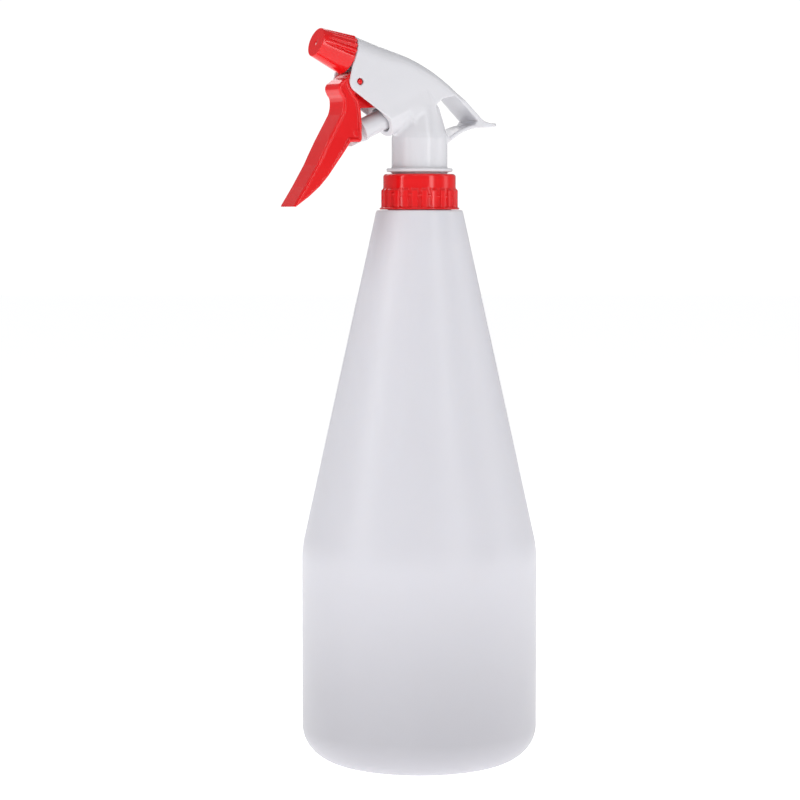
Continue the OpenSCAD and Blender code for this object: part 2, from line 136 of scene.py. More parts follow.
# ---------------------------------------------------------------- materials
def moulded(name, colour, roughness, grain=0.0, grain_scale=900.0, mottle=0.03, mottle_scale=60.0,
            subsurface=0.0, metallic=0.0, seam=0.0, specular=0.36, foot=1.0):
    """Moulded plastic, rubber or wire: a little mottle in the colour and gloss, and a fine skin; with foot
    below 1, painted shade darkens the colour towards the bottom.
    """
    material = bpy.data.materials.new(name)
    material.use_nodes = True
    tree = material.node_tree
    nodes, links = tree.nodes, tree.links
    shader = nodes["Principled BSDF"]
    shader.inputs["Metallic"].default_value = metallic
    shader.inputs["IOR"].default_value = 1.5
    shader.inputs["Specular IOR Level"].default_value = specular
    shader.inputs["Subsurface Weight"].default_value = subsurface
    shader.inputs["Subsurface Radius"].default_value = (1.0, 0.9, 0.8)
    shader.inputs["Subsurface Scale"].default_value = 0.004
    where = nodes.new("ShaderNodeTexCoord")

    def cloud(scale, detail):
        noise = nodes.new("ShaderNodeTexNoise")
        noise.inputs["Scale"].default_value = scale
        noise.inputs["Detail"].default_value = detail
        noise.inputs["Roughness"].default_value = 0.55
        links.new(where.outputs["Object"], noise.inputs["Vector"])
        return noise

    def spread(source, low, high):
        ramp = nodes.new("ShaderNodeMapRange")
        ramp.inputs["From Min"].default_value = 0.25
        ramp.inputs["From Max"].default_value = 0.75
        ramp.inputs["To Min"].default_value = low
        ramp.inputs["To Max"].default_value = high
        links.new(source, ramp.inputs["Value"])
        return ramp

    tone = nodes.new("ShaderNodeMix")
    tone.data_type = "RGBA"
    tone.inputs["A"].default_value = (*[c * (1 - mottle) for c in colour], 1)
    tone.inputs["B"].default_value = (*[min(c * (1 + mottle), 1) for c in colour], 1)
    patches = cloud(mottle_scale, 3)
    links.new(spread(patches.outputs["Fac"], 0, 1).outputs["Result"], tone.inputs["Factor"])
    links.new(tone.outputs["Result"], shader.inputs["Base Color"])
    if foot < 1:
        # Painted shade: the colour darkens smoothly towards the foot, standing in for the shade low on the
        # bottle.
        height = nodes.new("ShaderNodeSeparateXYZ")
        links.new(where.outputs["Object"], height.inputs[0])
        painted_foot_shade = nodes.new("ShaderNodeMapRange")
        painted_foot_shade.interpolation_type = "SMOOTHSTEP"
        painted_foot_shade.inputs["From Min"].default_value = 0.0
        painted_foot_shade.inputs["From Max"].default_value = 0.10
        painted_foot_shade.inputs["To Min"].default_value = foot
        painted_foot_shade.inputs["To Max"].default_value = 1.0
        links.new(height.outputs["Z"], painted_foot_shade.inputs["Value"])
        deep = nodes.new("ShaderNodeVectorMath")
        deep.operation = "SCALE"
        links.new(tone.outputs["Result"], deep.inputs[0])
        links.new(painted_foot_shade.outputs["Result"], deep.inputs["Scale"])
        links.new(deep.outputs["Vector"], shader.inputs["Base Color"])
    gloss = cloud(mottle_scale * 3.1, 4)
    links.new(spread(gloss.outputs["Fac"], roughness * 0.88, roughness * 1.12).outputs["Result"],
              shader.inputs["Roughness"])
    skin_noise = cloud(grain_scale, 4)
    bump = nodes.new("ShaderNodeBump")
    bump.inputs["Strength"].default_value = grain
    bump.inputs["Distance"].default_value = 0.0002
    links.new(skin_noise.outputs["Fac"], bump.inputs["Height"])
    links.new(bump.outputs["Normal"], shader.inputs["Normal"])
    if seam:
        # Parting line of the mould: a hair-fine ridge in the plane y = 0.
        split = nodes.new("ShaderNodeSeparateXYZ")
        links.new(where.outputs["Object"], split.inputs[0])
        off = nodes.new("ShaderNodeMath")
        off.operation = "ABSOLUTE"
        links.new(split.outputs["Y"], off.inputs[0])
        line = nodes.new("ShaderNodeMapRange")
        line.interpolation_type = "SMOOTHSTEP"
        line.inputs["From Min"].default_value = 0.00005
        line.inputs["From Max"].default_value = 0.00022
        line.inputs["To Min"].default_value = 1.0
        line.inputs["To Max"].default_value = 0.0
        links.new(off.outputs[0], line.inputs["Value"])
        ridge = nodes.new("ShaderNodeBump")
        ridge.inputs["Strength"].default_value = seam
        ridge.inputs["Distance"].default_value = 0.0001
        links.new(line.outputs["Result"], ridge.inputs["Height"])
        links.new(bump.outputs["Normal"], ridge.inputs["Normal"])
        links.new(ridge.outputs["Normal"], shader.inputs["Normal"])
    return material


# The bottle's colour holds painted shade: foot=0.70 darkens it towards the bottom.
MILKY = moulded("bottle_polyethylene", (0.735, 0.725, 0.77), 0.38, grain=0.06, grain_scale=500,
                mottle=0.01, mottle_scale=22, subsurface=0.25, seam=0.4, foot=0.70)
RED = moulded("red_polypropylene", (0.79, 0.006, 0.008), 0.16, grain=0.02, grain_scale=500,
              mottle=0.03, mottle_scale=90, specular=0.5)
WHITE = moulded("white_polypropylene", (0.735, 0.73, 0.76), 0.22, grain=0.02, grain_scale=500,
                mottle=0.01, mottle_scale=60, subsurface=0.08, seam=0.25)
GREY = moulded("natural_polypropylene", (0.66, 0.66, 0.68), 0.30, grain=0.06, grain_scale=1200,
               mottle=0.02, mottle_scale=80, subsurface=0.15)
TUBE = moulded("tube_polyethylene", (0.72, 0.74, 0.75), 0.36, grain=0.06, grain_scale=1500,
               mottle=0.02, mottle_scale=120, subsurface=0.3)
LINER = moulded("liner_foam", (0.76, 0.76, 0.71), 0.62, grain=0.5, grain_scale=2600,
                mottle=0.05, mottle_scale=300)
RUBBER = moulded("seal_rubber", (0.035, 0.035, 0.04), 0.48, grain=0.3, grain_scale=1800,
                 mottle=0.15, mottle_scale=200)
STEEL = moulded("spring_steel", (0.62, 0.63, 0.65), 0.24, grain=0.25, grain_scale=3000,
                mottle=0.08, mottle_scale=400, metallic=1.0)
BALL = moulded("ball_steel", (0.68, 0.69, 0.71), 0.14, grain=0.04, grain_scale=2500,
               mottle=0.04, mottle_scale=300, metallic=1.0)


# ---------------------------------------------------------------- meshes from measured shapes
def add_piece(name, mesh, body, material, stands_for=()):
    mesh.materials.clear()
    mesh.materials.append(material)
    piece = bpy.data.objects.new(name, mesh)
    scene.collection.objects.link(piece)
    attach(piece, body)
    if stands_for:
        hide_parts(*stands_for)
    return piece


def outline_distance(x, z, outline):
    """Distance in the side view from an outline, below zero inside it."""
    x, z = np.broadcast_arrays(np.asarray(x, float), np.asarray(z, float))
    near = np.full(x.shape, 1e12)
    inside = np.zeros(x.shape, bool)
    for (ax, az), (bx, bz) in zip(outline, outline[1:] + outline[:1]):
        ex, ez = bx - ax, bz - az
        if ex == 0 and ez == 0:
            continue
        t = np.clip(((x - ax) * ex + (z - az) * ez) / (ex * ex + ez * ez), 0, 1)
        near = np.minimum(near, (x - ax - t * ex) ** 2 + (z - az - t * ez) ** 2)
        if az != bz:
            inside ^= ((az > z) != (bz > z)) & (x < ax + (z - az) * ex / ez)
    return np.where(inside, -1, 1) * np.sqrt(near)


def rounded(a, b, r):
    """Where both a and b are inside, with the edge between them rounded to radius r."""
    p, q = a + r, b + r
    return np.minimum(np.maximum(p, q), 0) + np.hypot(np.maximum(p, 0), np.maximum(q, 0)) - r


def joined(a, b, k):
    """Either a or b, with a fillet of about k between them."""
    h = np.clip(0.5 + 0.5 * (b - a) / k, 0, 1)
    return b + (a - b) * h - k * h * (1 - h)


def cut(a, b, k=0.2):
    """a with b taken away."""
    return -joined(-a, b, k)


def capped_rod(along, radial, start, end, r, edge):
    """A round bar along an axis, from start to end, with rounded rims."""
    return rounded(radial - r, np.maximum(start - along, along - end), edge)


def skin(name, field, low, high, step):
    """The closed surface where field is zero, one vertex a crossed cell, moved onto the surface."""
    axes = [np.arange(a, b + step, step) for a, b in zip(low, high)]
    grid = field(axes[0][:, None, None], axes[1][None, :, None], axes[2][None, None, :])
    shape = tuple(len(a) for a in axes)
    grid = np.ascontiguousarray(np.broadcast_to(grid, shape))
    full = grid < 0
    cells = np.zeros(tuple(n - 1 for n in shape), np.int8)
    corners = [(i, j, k) for i in (0, 1) for j in (0, 1) for k in (0, 1)]
    part = [slice(0, -1), slice(1, None)]
    for i, j, k in corners:
        cells += full[part[i], part[j], part[k]]
    mixed = (cells > 0) & (cells < 8)
    number = np.full(cells.shape, -1, np.int64)
    at = np.argwhere(mixed)
    number[mixed] = np.arange(len(at))
    total, count = np.zeros((len(at), 3)), np.zeros(len(at))
    for axis in range(3):
        for i, j in ((0, 0), (0, 1), (1, 0), (1, 1)):
            start = np.zeros(3, int)
            start[(axis + 1) % 3], start[(axis + 2) % 3] = i, j
            end = start.copy()
            end[axis] = 1
            f0 = grid[tuple((at + start).T)]
            f1 = grid[tuple((at + end).T)]
            crossed = (f0 < 0) != (f1 < 0)
            t = np.where(crossed, f0 / np.where(crossed, f0 - f1, 1), 0)
            place = at + start + t[:, None] * (end - start)
            total += np.where(crossed[:, None], place, 0)
            count += crossed
    points = np.array([a[0] for a in axes]) + step * total / count[:, None]
    faces = []
    for axis in range(3):
        u, v = (axis + 1) % 3, (axis + 2) % 3
        here, there = [slice(None)] * 3, [slice(None)] * 3
        here[axis], there[axis] = slice(0, -1), slice(1, None)
        a, b = full[tuple(here)], full[tuple(there)]
        for sign in (True, False):
            spots = np.argwhere((a != b) & (a == sign))
            spots = spots[(spots[:, u] > 0) & (spots[:, v] > 0)
                          & (spots[:, u] < shape[u] - 1) & (spots[:, v] < shape[v] - 1)]
            ring = []
            for du, dv in ((1, 1), (0, 1), (0, 0), (1, 0)):
                c = spots.copy()
                c[:, u] -= du
                c[:, v] -= dv
                ring.append(number[tuple(c.T)])
            quad = np.stack(ring, 1)
            faces.append(quad if sign else quad[:, ::-1])
    faces = np.concatenate(faces)

    def value(p):
        return field(p[:, 0], p[:, 1], p[:, 2])

    def uphill(p, h=0.02):
        g = np.stack([(value(p + d) - value(p - d)) / (2 * h) for d in np.eye(3) * h], 1)
        return g, np.maximum((g * g).sum(1), 1e-6)

    for _ in range(3):
        g, size = uphill(points)
        move = -(value(points) / size)[:, None] * g
        length = np.maximum(np.linalg.norm(move, axis=1), 1e-9)
        points = points + move * np.minimum(1, 0.5 * step / length)[:, None]
    g, size = uphill(points)
    mesh = bpy.data.meshes.new(name)
    mesh.from_pydata((points * MM).tolist(), [], faces.tolist())
    mesh.update()
    mesh.shade_smooth()
    mesh.normals_split_custom_set_from_vertices((g / np.sqrt(size)[:, None]).tolist())
    return mesh


# ---------------------------------------------------------------- numbers shared with the part, mm
PIVOT = [joints["trigger_pull"]["pos_m"][0] / MM, joints["trigger_pull"]["pos_m"][2] / MM]
NOZZLE = [joints["nozzle_turn"]["pos_m"][0] / MM, joints["nozzle_turn"]["pos_m"][2] / MM]
NOZZLE_ANGLE = 18.5
NOZZLE_SLOPE = math.radians(NOZZLE_ANGLE)
PUMP_SLOPE = math.radians(24.5)
MOUTH = [-17.5, 256.2]
HALF_W = 7.4


def pump_at(s, n=0.0):
    return (MOUTH[0] + s * math.cos(PUMP_SLOPE) - n * math.sin(PUMP_SLOPE),
            MOUTH[1] + s * math.sin(PUMP_SLOPE) + n * math.cos(PUMP_SLOPE))


def nozzle_at(s, n=0.0):
    return (NOZZLE[0] - s * math.cos(NOZZLE_SLOPE) + n * math.sin(NOZZLE_SLOPE),
            NOZZLE[1] + s * math.sin(NOZZLE_SLOPE) + n * math.cos(NOZZLE_SLOPE))


def pump_frame(x, z):
    """Distance along the pump's axis and above it."""
    dx, dz = x - MOUTH[0], z - MOUTH[1]
    return (dx * math.cos(PUMP_SLOPE) + dz * math.sin(PUMP_SLOPE),
            -dx * math.sin(PUMP_SLOPE) + dz * math.cos(PUMP_SLOPE))


def nozzle_frame(x, z):
    """Distance along the nozzle's axis and above it."""
    dx, dz = x - NOZZLE[0], z - NOZZLE[1]
    return (-dx * math.cos(NOZZLE_SLOPE) + dz * math.sin(NOZZLE_SLOPE),
            dx * math.sin(NOZZLE_SLOPE) + dz * math.cos(NOZZLE_SLOPE))


def arc(cx, cz, r, a0, a1, n):
    return [(cx + r * math.cos(math.radians(a0 + (a1 - a0) * i / n)),
             cz + r * math.sin(math.radians(a0 + (a1 - a0) * i / n))) for i in range(n + 1)]


# ---------------------------------------------------------------- housing
BARREL_TOP_R, BARREL_L = 7.7, 20.9
ROOF_R, ROOF_SLOPE = 69.9, 43.7
_start = nozzle_at(-BARREL_L, BARREL_TOP_R)
ROOF_C = (_start[0] - ROOF_R * math.sin(NOZZLE_SLOPE), _start[1] - ROOF_R * math.cos(NOZZLE_SLOPE))
_slope = math.radians(ROOF_SLOPE)
ROOF_END = (ROOF_C[0] + ROOF_R * math.sin(_slope), ROOF_C[1] + ROOF_R * math.cos(_slope))
STRAP_T = 2.1
REST_C, REST_R, REST_T, REST_TIP = (26.1, 228.8), 25.0, 1.4, 34.5
REST_Z = REST_C[1] + REST_R
EAR_R, EAR_NORMAL = 4.4, 235.2
BORE_END, BOSS_R = 18.5, 7.2


def strap_at(z, t=0.0):
    return (ROOF_END[0] + (ROOF_END[1] - z) / math.tan(_slope) - t / math.sin(_slope), z)


ROOF_LINE = ([nozzle_at(-0.3, BARREL_TOP_R)]
             + arc(*ROOF_C, ROOF_R, 90 - NOZZLE_ANGLE, 90 - ROOF_SLOPE, 24)
             + [strap_at(REST_Z + REST_T + 1.6), strap_at(REST_Z + REST_T + 0.9, -0.35),
                (28.6, REST_Z + REST_T + 0.32), (REST_TIP, REST_Z + REST_T + 0.3)])
LOWER_LINE = ([(REST_TIP, REST_Z + 0.4)] + arc(*REST_C, REST_R, 88, 130, 14)
              + [(5, REST_Z - 6.5), (-5, REST_Z - 2), pump_at(10), pump_at(0.2)]
              + arc(*PIVOT, EAR_R, EAR_NORMAL, 172, 12) + [nozzle_at(-0.3, -3.6)])
SIDE = ROOF_LINE + LOWER_LINE
UNDER_ROOF = ROOF_LINE + [(REST_TIP + 20, 220), (-70, 220), nozzle_at(20, BARREL_TOP_R)]
WINDOW = ([(3, REST_Z - 3), (3, 261.8), (4.6, 263.2), (7.0, 264.9), strap_at(266, STRAP_T),
           strap_at(REST_Z + REST_T + 1.2, STRAP_T)]
          + arc(*REST_C, REST_R + REST_T, 100, 128, 10))
TRIGGER_SPACE = ([nozzle_at(2), nozzle_at(-BARREL_L)] + arc(*ROOF_C, ROOF_R - 1.3, 90 - NOZZLE_ANGLE, 58, 8)
                 + [(-1, 270), pump_at(BORE_END + 1.5, BOSS_R), pump_at(0, BOSS_R), pump_at(-2, -4),
                    (-40, 255), (-45, 275)])


def housing_field(x, y, z):
    side = np.abs(y)
    # Plates, roof, strap and hand rest: one outline, with the roof's edges rounded ever less to the rear.
    edge = np.interp(x, [-21, -12, 7, 14, 17, 24, 30], [7.3, 5.5, 4.2, 3.4, 1.4, 1.0, 0.6])
    roof = rounded(outline_distance(x, z, UNDER_ROOF), side - HALF_W, edge)
    plates = rounded(outline_distance(x, z, SIDE), side - HALF_W, 0.35)
    shell = np.maximum(roof, plates)
    tip = np.where(x > REST_TIP - HALF_W, np.hypot(x - (REST_TIP - HALF_W), side) - HALF_W, side - HALF_W)
    shell = rounded(shell, tip, 0.4)
    shell = cut(shell, np.maximum(outline_distance(x, z, WINDOW), side - 12), 0.7)
    hollow = np.maximum(outline_distance(x, z, TRIGGER_SPACE), side - (HALF_W - 1.1))
    hollow = np.maximum(hollow, roof + 1.15)
    shell = cut(shell, hollow, 0.3)
    # Neck tube, its narrowing top and the disc over the collar.
    rho = np.hypot(x, y)
    neck = outline_distance(rho, z, [(-5, 233.45), (11.05, 233.45), (11.05, 249.2), (10.7, 251.0),
                                     (7.75, 261.2), (6.6, 263), (-5, 263)])
    disc = rounded(rho - 13.1, np.maximum(235.9 - z, z - 237.3), 0.35)
    s, n = pump_frame(x, z)
    boss = capped_rod(s, np.hypot(n, y), 0.0, BORE_END + 1.8, BOSS_R, 0.45)
    t, m = nozzle_frame(x, z)
    radial = np.hypot(m, y)
    barrel = capped_rod(t, radial, -31.5, 0.0, 3.9, 0.3)
    spigot = capped_rod(t, radial, -0.3, 9.2, 4.9, 0.3)
    body = joined(neck, boss, 2.2)
    body = joined(body, shell, 1.4)
    body = joined(body, disc, 0.5)
    body = joined(body, np.minimum(barrel, spigot), 0.3)
    # Neck cavity round the riser pipe, pump bore, riser, outlet, barrel bore and pivot holes.
    cavity = np.maximum(rho - 9.3, np.maximum(232 - z, z - 249))
    cavity = np.maximum(cavity, -np.maximum(rho - 3.6, 243.05 - z))
    body = cut(body, cavity, 0.25)
    body = cut(body, np.maximum(np.hypot(n, y) - 5.0, np.maximum(-1 - s, s - BORE_END)), 0.3)
    body = cut(body, np.maximum(rho - 1.6, np.maximum(242 - z, z - 260)), 0.1)
    body = cut(body, np.maximum(np.hypot(x + 3.2, y) - 1.2, np.maximum(265 - z, z - 271.5)), 0.1)
    body = cut(body, np.maximum(radial - 1.5, -30 - t), 0.1)
    body = cut(body, np.maximum(radial - 3.2, -3 - t), 0.15)
    hole = np.hypot(x - PIVOT[0], z - PIVOT[1]) - np.where(side < 6.75, 1.56, 1.32)
    body = cut(body, hole, 0.12)
    return body


low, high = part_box("housing")
step = 0.46
housing = skin("housing_body", housing_field, [c / MM - 1.2 for c in low], [c / MM + 1.2 for c in high], step)
add_piece("housing_body", housing, "head", WHITE, ["housing"])

# ---------------------------------------------------------------- trigger
FINGER = (arc(-37.2, 267.7, 2.4, 40, 205, 14) + [(-38.3, 264.9)]
          + arc(-48.0, 262.0, 10.4, 12, -24, 10)
          + [(-44.3, 247.8), (-46.9, 242.9), (-49.3, 238.2), (-54.4, 229.8), (-59.5, 222.1)])
TRIGGER_SIDE = (FINGER + [(-58.3, 222.0), (-52.6, 225.9), (-47.9, 229.8), (-44.2, 233.8), (-40.8, 238.3),
                          (-37.3, 242.9), (-34.2, 247.2)]
                + arc(-30.6, 248.6, 1.4, -100, 0, 6) + [(-29.3, 255.0), (-29.7, 259.4), (-30.5, 263.5)])
TRIGGER_HOLLOW = [(-36.5, 263.5), (-37.7, 257.2), (-42.6, 247.6), (-47.6, 238.0), (-52.6, 229.6),
                  (-57.6, 222.6), (-56, 218), (-20, 240), (-20, 258), (-30, 263.5)]
TRIGGER_RIB = [(-36.2, 263.9), (-37.9, 256.0), (-35.0, 247.6), (-30.6, 247.4), (-29.4, 250), (-29.8, 260.4),
               (-21.6, 260.9), (-22.6, 264.0), (-27.5, 268.5), (-33, 268)]
TRIGGER_TOP = [(-28.2, 274.9), (-31.6, 274.7), (-33.1, 273.8), (-35.0, 272.3), (-37.2, 271.1),
               (-39.0, 269.6), (-39.4, 268.6), (-38.5, 265.5), (-35.4, 264.5), (-30.9, 266.5), (-27.4, 268)]
BAR = pump_at(-15, 0.6)


def trigger_field(x, y, z):
    side = np.abs(y)
    from_pivot = np.hypot(x - PIVOT[0], z - PIVOT[1])
    outline = joined(outline_distance(x, z, TRIGGER_SIDE), outline_distance(x, z, TRIGGER_TOP), 0.8)
    body = rounded(joined(outline, from_pivot - 4.2, 0.8), side - 6, 0.8)
    # A shallow dish in each side, fading out down the finger, which leaves a raised rim along the
    # edges and a pad round the pivot.
    dish_floor = 5.4 + 0.9 * np.clip((249 - z) / 12, 0, 1)
    dish = np.maximum(np.maximum(outline + 1.5, dish_floor - side), 5.6 - from_pivot)
    body = cut(body, dish, 0.6)
    body = cut(body, np.maximum(outline_distance(x, z, TRIGGER_HOLLOW), side - 4.8), 0.4)
    ribs = rounded(outline_distance(x, z, TRIGGER_RIB), np.abs(side - 3.15) - 0.55, 0.2)
    body = joined(body, ribs, 0.3)
    body = joined(body, rounded(np.hypot(x - BAR[0], z - BAR[1]) - 1.3, side - 5.5, 0.1), 0.2)
    pin = np.minimum(rounded(from_pivot - 1.45, side - 6.5, 0.2), rounded(from_pivot - 1.0, side - 7.3, 0.35))
    return joined(body, pin, 0.15)


low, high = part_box("trigger")
step = 0.34
trigger = skin("trigger_lever", trigger_field, [c / MM - 1 for c in low], [c / MM + 1 for c in high], step)
add_piece("trigger_lever", trigger, "trigger", RED, ["trigger"])


# ---------------------------------------------------------------- turned pieces and repeated details
def turned(name, profile, sides, place=None):
    """A closed profile (r, z) turned about +Z; points on the axis become one pole each."""
    verts, rings = [], []
    for r, z in profile:
        if r < 1e-9:
            rings.append([len(verts)] * sides)
            verts.append((0, 0, z))
        else:
            rings.append(list(range(len(verts), len(verts) + sides)))
            verts += [(r * math.cos(2 * math.pi * i / sides), r * math.sin(2 * math.pi * i / sides), z)
                      for i in range(sides)]
    faces = []
    for a, b in zip(rings, rings[1:] + ([rings[0]] if profile[0][0] > 1e-9 else [])):
        for i in range(sides):
            j = (i + 1) % sides
            quad = [a[i], a[j], b[j], b[i]]
            face = [q for k, q in enumerate(quad) if q not in quad[:k]]
            if len(face) > 2:
                faces.append(face)
    return build_mesh(name, verts, faces, place)


def build_mesh(name, verts, faces, place=None):
    mesh = bpy.data.meshes.new(name)
    mesh.from_pydata([tuple(c * MM for c in v) for v in verts], [], faces)
    if place is not None:
        mesh.transform(place)
    mesh.update()
    mesh.shade_smooth()
    return mesh


def on_axis(point, slope_vector):
    """Matrix that takes +Z to an axis in the X-Z plane, starting at a point in mm."""
    z = Vector((slope_vector[0], 0, slope_vector[1])).normalized()
    y = Vector((0, 1, 0))
    x = y.cross(z)
    m = Matrix((x, y, z)).transposed().to_4x4()
    m.translation = Vector((point[0], 0, point[1])) * MM
    return m


ON_PUMP = on_axis(MOUTH, (math.cos(PUMP_SLOPE), math.sin(PUMP_SLOPE)))
ON_NOZZLE = on_axis(NOZZLE, (-math.cos(NOZZLE_SLOPE), math.sin(NOZZLE_SLOPE)))


def node_tree(name, inputs):
    tree = bpy.data.node_groups.new(name, "GeometryNodeTree")
    tree.interface.new_socket("Geometry", in_out="INPUT", socket_type="NodeSocketGeometry")
    for label, kind in inputs:
        tree.interface.new_socket(label, in_out="INPUT", socket_type=kind)
    tree.interface.new_socket("Geometry", in_out="OUTPUT", socket_type="NodeSocketGeometry")
    return tree


def baked(name, start_mesh, tree, values):
    """The mesh that a node tree makes, with its named inputs set, and no modifier left on it."""
    holder = bpy.data.objects.new(name + "_holder", start_mesh)
    scene.collection.objects.link(holder)
    modifier = holder.modifiers.new("nodes", "NODES")
    modifier.node_group = tree
    sockets = {i.name: i.identifier for i in tree.interface.items_tree
               if i.item_type == "SOCKET" and i.in_out == "INPUT"}
    for label, value in values.items():
        modifier[sockets[label]] = value
    holder.update_tag()
    bpy.context.view_layer.update()
    depsgraph = bpy.context.evaluated_depsgraph_get()
    mesh = bpy.data.meshes.new_from_object(holder.evaluated_get(depsgraph))
    mesh.name = name
    bpy.data.objects.remove(holder)
    return mesh


def repeat_tree():
    """Copies the sector it is given all the way round +Z and welds the seams."""
    tree = node_tree("repeat_round", [("Count", "NodeSocketInt"), ("Weld", "NodeSocketFloat"),
                                      ("Material", "NodeSocketMaterial")])
    nodes, links = tree.nodes, tree.links
    given = nodes.new("NodeGroupInput")
    out = nodes.new("NodeGroupOutput")
    line = nodes.new("GeometryNodeMeshLine")
    line.inputs["Offset"].default_value = (0, 0, 0)
    links.new(given.outputs["Count"], line.inputs["Count"])
    points = nodes.new("GeometryNodeInstanceOnPoints")
    links.new(line.outputs["Mesh"], points.inputs["Points"])
    links.new(given.outputs["Geometry"], points.inputs["Instance"])
    index = nodes.new("GeometryNodeInputIndex")
    turn = nodes.new("ShaderNodeMath")
    turn.operation = "DIVIDE"
    turn.inputs[0].default_value = 2 * math.pi
    links.new(given.outputs["Count"], turn.inputs[1])
    angle = nodes.new("ShaderNodeMath")
    angle.operation = "MULTIPLY"
    links.new(index.outputs[0], angle.inputs[0])
    links.new(turn.outputs[0], angle.inputs[1])
    about = nodes.new("ShaderNodeCombineXYZ")
    links.new(angle.outputs[0], about.inputs["Z"])
    rotate = nodes.new("GeometryNodeRotateInstances")
    rotate.inputs["Local Space"].default_value = False
    links.new(points.outputs[0], rotate.inputs["Instances"])
    links.new(about.outputs[0], rotate.inputs["Rotation"])
    real = nodes.new("GeometryNodeRealizeInstances")
    links.new(rotate.outputs[0], real.inputs[0])
    weld = nodes.new("GeometryNodeMergeByDistance")
    links.new(real.outputs[0], weld.inputs["Geometry"])
    links.new(given.outputs["Weld"], weld.inputs["Distance"])
    paint = nodes.new("GeometryNodeSetMaterial")
    links.new(weld.outputs[0], paint.inputs["Geometry"])
    links.new(given.outputs["Material"], paint.inputs["Material"])
    links.new(paint.outputs[0], out.inputs[0])
    return tree


def helix_tree():
    """A round section swept along a helix about +Z, with flat filled ends: springs and screw threads."""
    tree = node_tree("sweep_helix", [("Turns", "NodeSocketFloat"), ("Radius", "NodeSocketFloat"),
                                     ("Rise", "NodeSocketFloat"), ("Wire", "NodeSocketFloat"),
                                     ("Steps", "NodeSocketInt"), ("Sides", "NodeSocketInt"),
                                     ("Material", "NodeSocketMaterial")])
    nodes, links = tree.nodes, tree.links
    given = nodes.new("NodeGroupInput")
    out = nodes.new("NodeGroupOutput")
    spiral = nodes.new("GeometryNodeCurveSpiral")
    links.new(given.outputs["Steps"], spiral.inputs["Resolution"])
    links.new(given.outputs["Turns"], spiral.inputs["Rotations"])
    links.new(given.outputs["Radius"], spiral.inputs["Start Radius"])
    links.new(given.outputs["Radius"], spiral.inputs["End Radius"])
    links.new(given.outputs["Rise"], spiral.inputs["Height"])
    circle = nodes.new("GeometryNodeCurvePrimitiveCircle")
    links.new(given.outputs["Sides"], circle.inputs["Resolution"])
    links.new(given.outputs["Wire"], circle.inputs["Radius"])
    sweep = nodes.new("GeometryNodeCurveToMesh")
    sweep.inputs["Fill Caps"].default_value = True
    links.new(spiral.outputs[0], sweep.inputs["Curve"])
    links.new(circle.outputs[0], sweep.inputs["Profile Curve"])
    smooth = nodes.new("GeometryNodeSetShadeSmooth")
    links.new(sweep.outputs[0], smooth.inputs[0])
    real = nodes.new("GeometryNodeRealizeInstances")
    links.new(smooth.outputs[0], real.inputs[0])
    paint = nodes.new("GeometryNodeSetMaterial")
    links.new(real.outputs[0], paint.inputs["Geometry"])
    links.new(given.outputs["Material"], paint.inputs["Material"])
    links.new(paint.outputs[0], out.inputs[0])
    return tree


REPEAT = repeat_tree()
HELIX = helix_tree()


def helix(name, radius, rise, turns, wire, material, place, steps=28, sides=10):
    """A round rib or wire on a helix; radius, rise and wire in mm."""
    mesh = baked(name, bpy.data.meshes.new(name + "_start"), HELIX,
                 {"Turns": float(turns), "Radius": radius * MM, "Rise": rise * MM, "Wire": wire * MM,
                  "Steps": int(steps * abs(turns)), "Sides": sides, "Material": material})
    mesh.transform(place)
    mesh.update()
    return mesh


def sector_round(name, profile, count, sideways, shape, material, place=None):
    """A closed profile swept over one sector, its points moved by shape(r, z, angle), then repeated."""
    wide = 2 * math.pi / count
    verts, faces = [], []
    n = len(profile)
    for i in range(sideways + 1):
        a = wide * (i / sideways - 0.5)
        for r, z in profile:
            r2, z2 = shape(r, z, a)
            verts.append((r2 * math.cos(a), r2 * math.sin(a), z2))
    for i in range(sideways):
        for k in range(n):
            a, b = i * n + k, i * n + (k + 1) % n
            faces.append([a, a + n, b + n, b])
    start = build_mesh(name + "_sector", verts, faces)
    mesh = baked(name, start, REPEAT, {"Count": count, "Weld": 0.00002, "Material": material})
    if place is not None:
        mesh.transform(place)
    mesh.update()
    return mesh


# ---------------------------------------------------------------- bottle
def bottle_profile():
    r, flat, corner, cone_r, cone_z, wall = 47.0, 30.6, 14.5, 17.3, 220.8, 1.4
    half = math.atan((r - cone_r) / (cone_z - 86.0)) / 2
    bend_c = (r - 45.8, 86.0 - 45.8 * math.tan(half))

    def side(t):
        pts = [(0, t), (flat * 0.5, t), (flat * 0.9, t)]
        pts += [(flat + (r - flat - t) * math.cos(a), corner + (corner - t) * math.sin(a))
                for a in [math.radians(-90 + 90 * i / 28) for i in range(29)]]
        pts += [(r - t, z) for z in (30, 50, 66)]
        pts += [(bend_c[0] + (45.8 - t) * math.cos(a), bend_c[1] + (45.8 - t) * math.sin(a))
                for a in [2 * half * i / 16 for i in range(17)]]
        foot = pts[-1]
        top = (cone_r - t * 0.9, cone_z - 0.8 - t)
        pts += [(foot[0] + (top[0] - foot[0]) * i / 8, foot[1] + (top[1] - foot[1]) * i / 8)
                for i in range(1, 9)]
        return pts + [(cone_r - 0.25 - t, cone_z - 0.2 - t), (cone_r - 0.8 - t, cone_z - t)]

    finish, lip, bore = 12.45, 231.0, 10.8
    outer = side(0) + [(finish + 0.3, cone_z), (finish, cone_z + 0.3), (finish, lip - 0.4),
                       (finish - 0.12, lip - 0.12), (finish - 0.4, lip), (bore + 0.3, lip),
                       (bore, lip - 0.3), (bore, cone_z - wall - 1)]
    return outer + side(wall)[::-1]


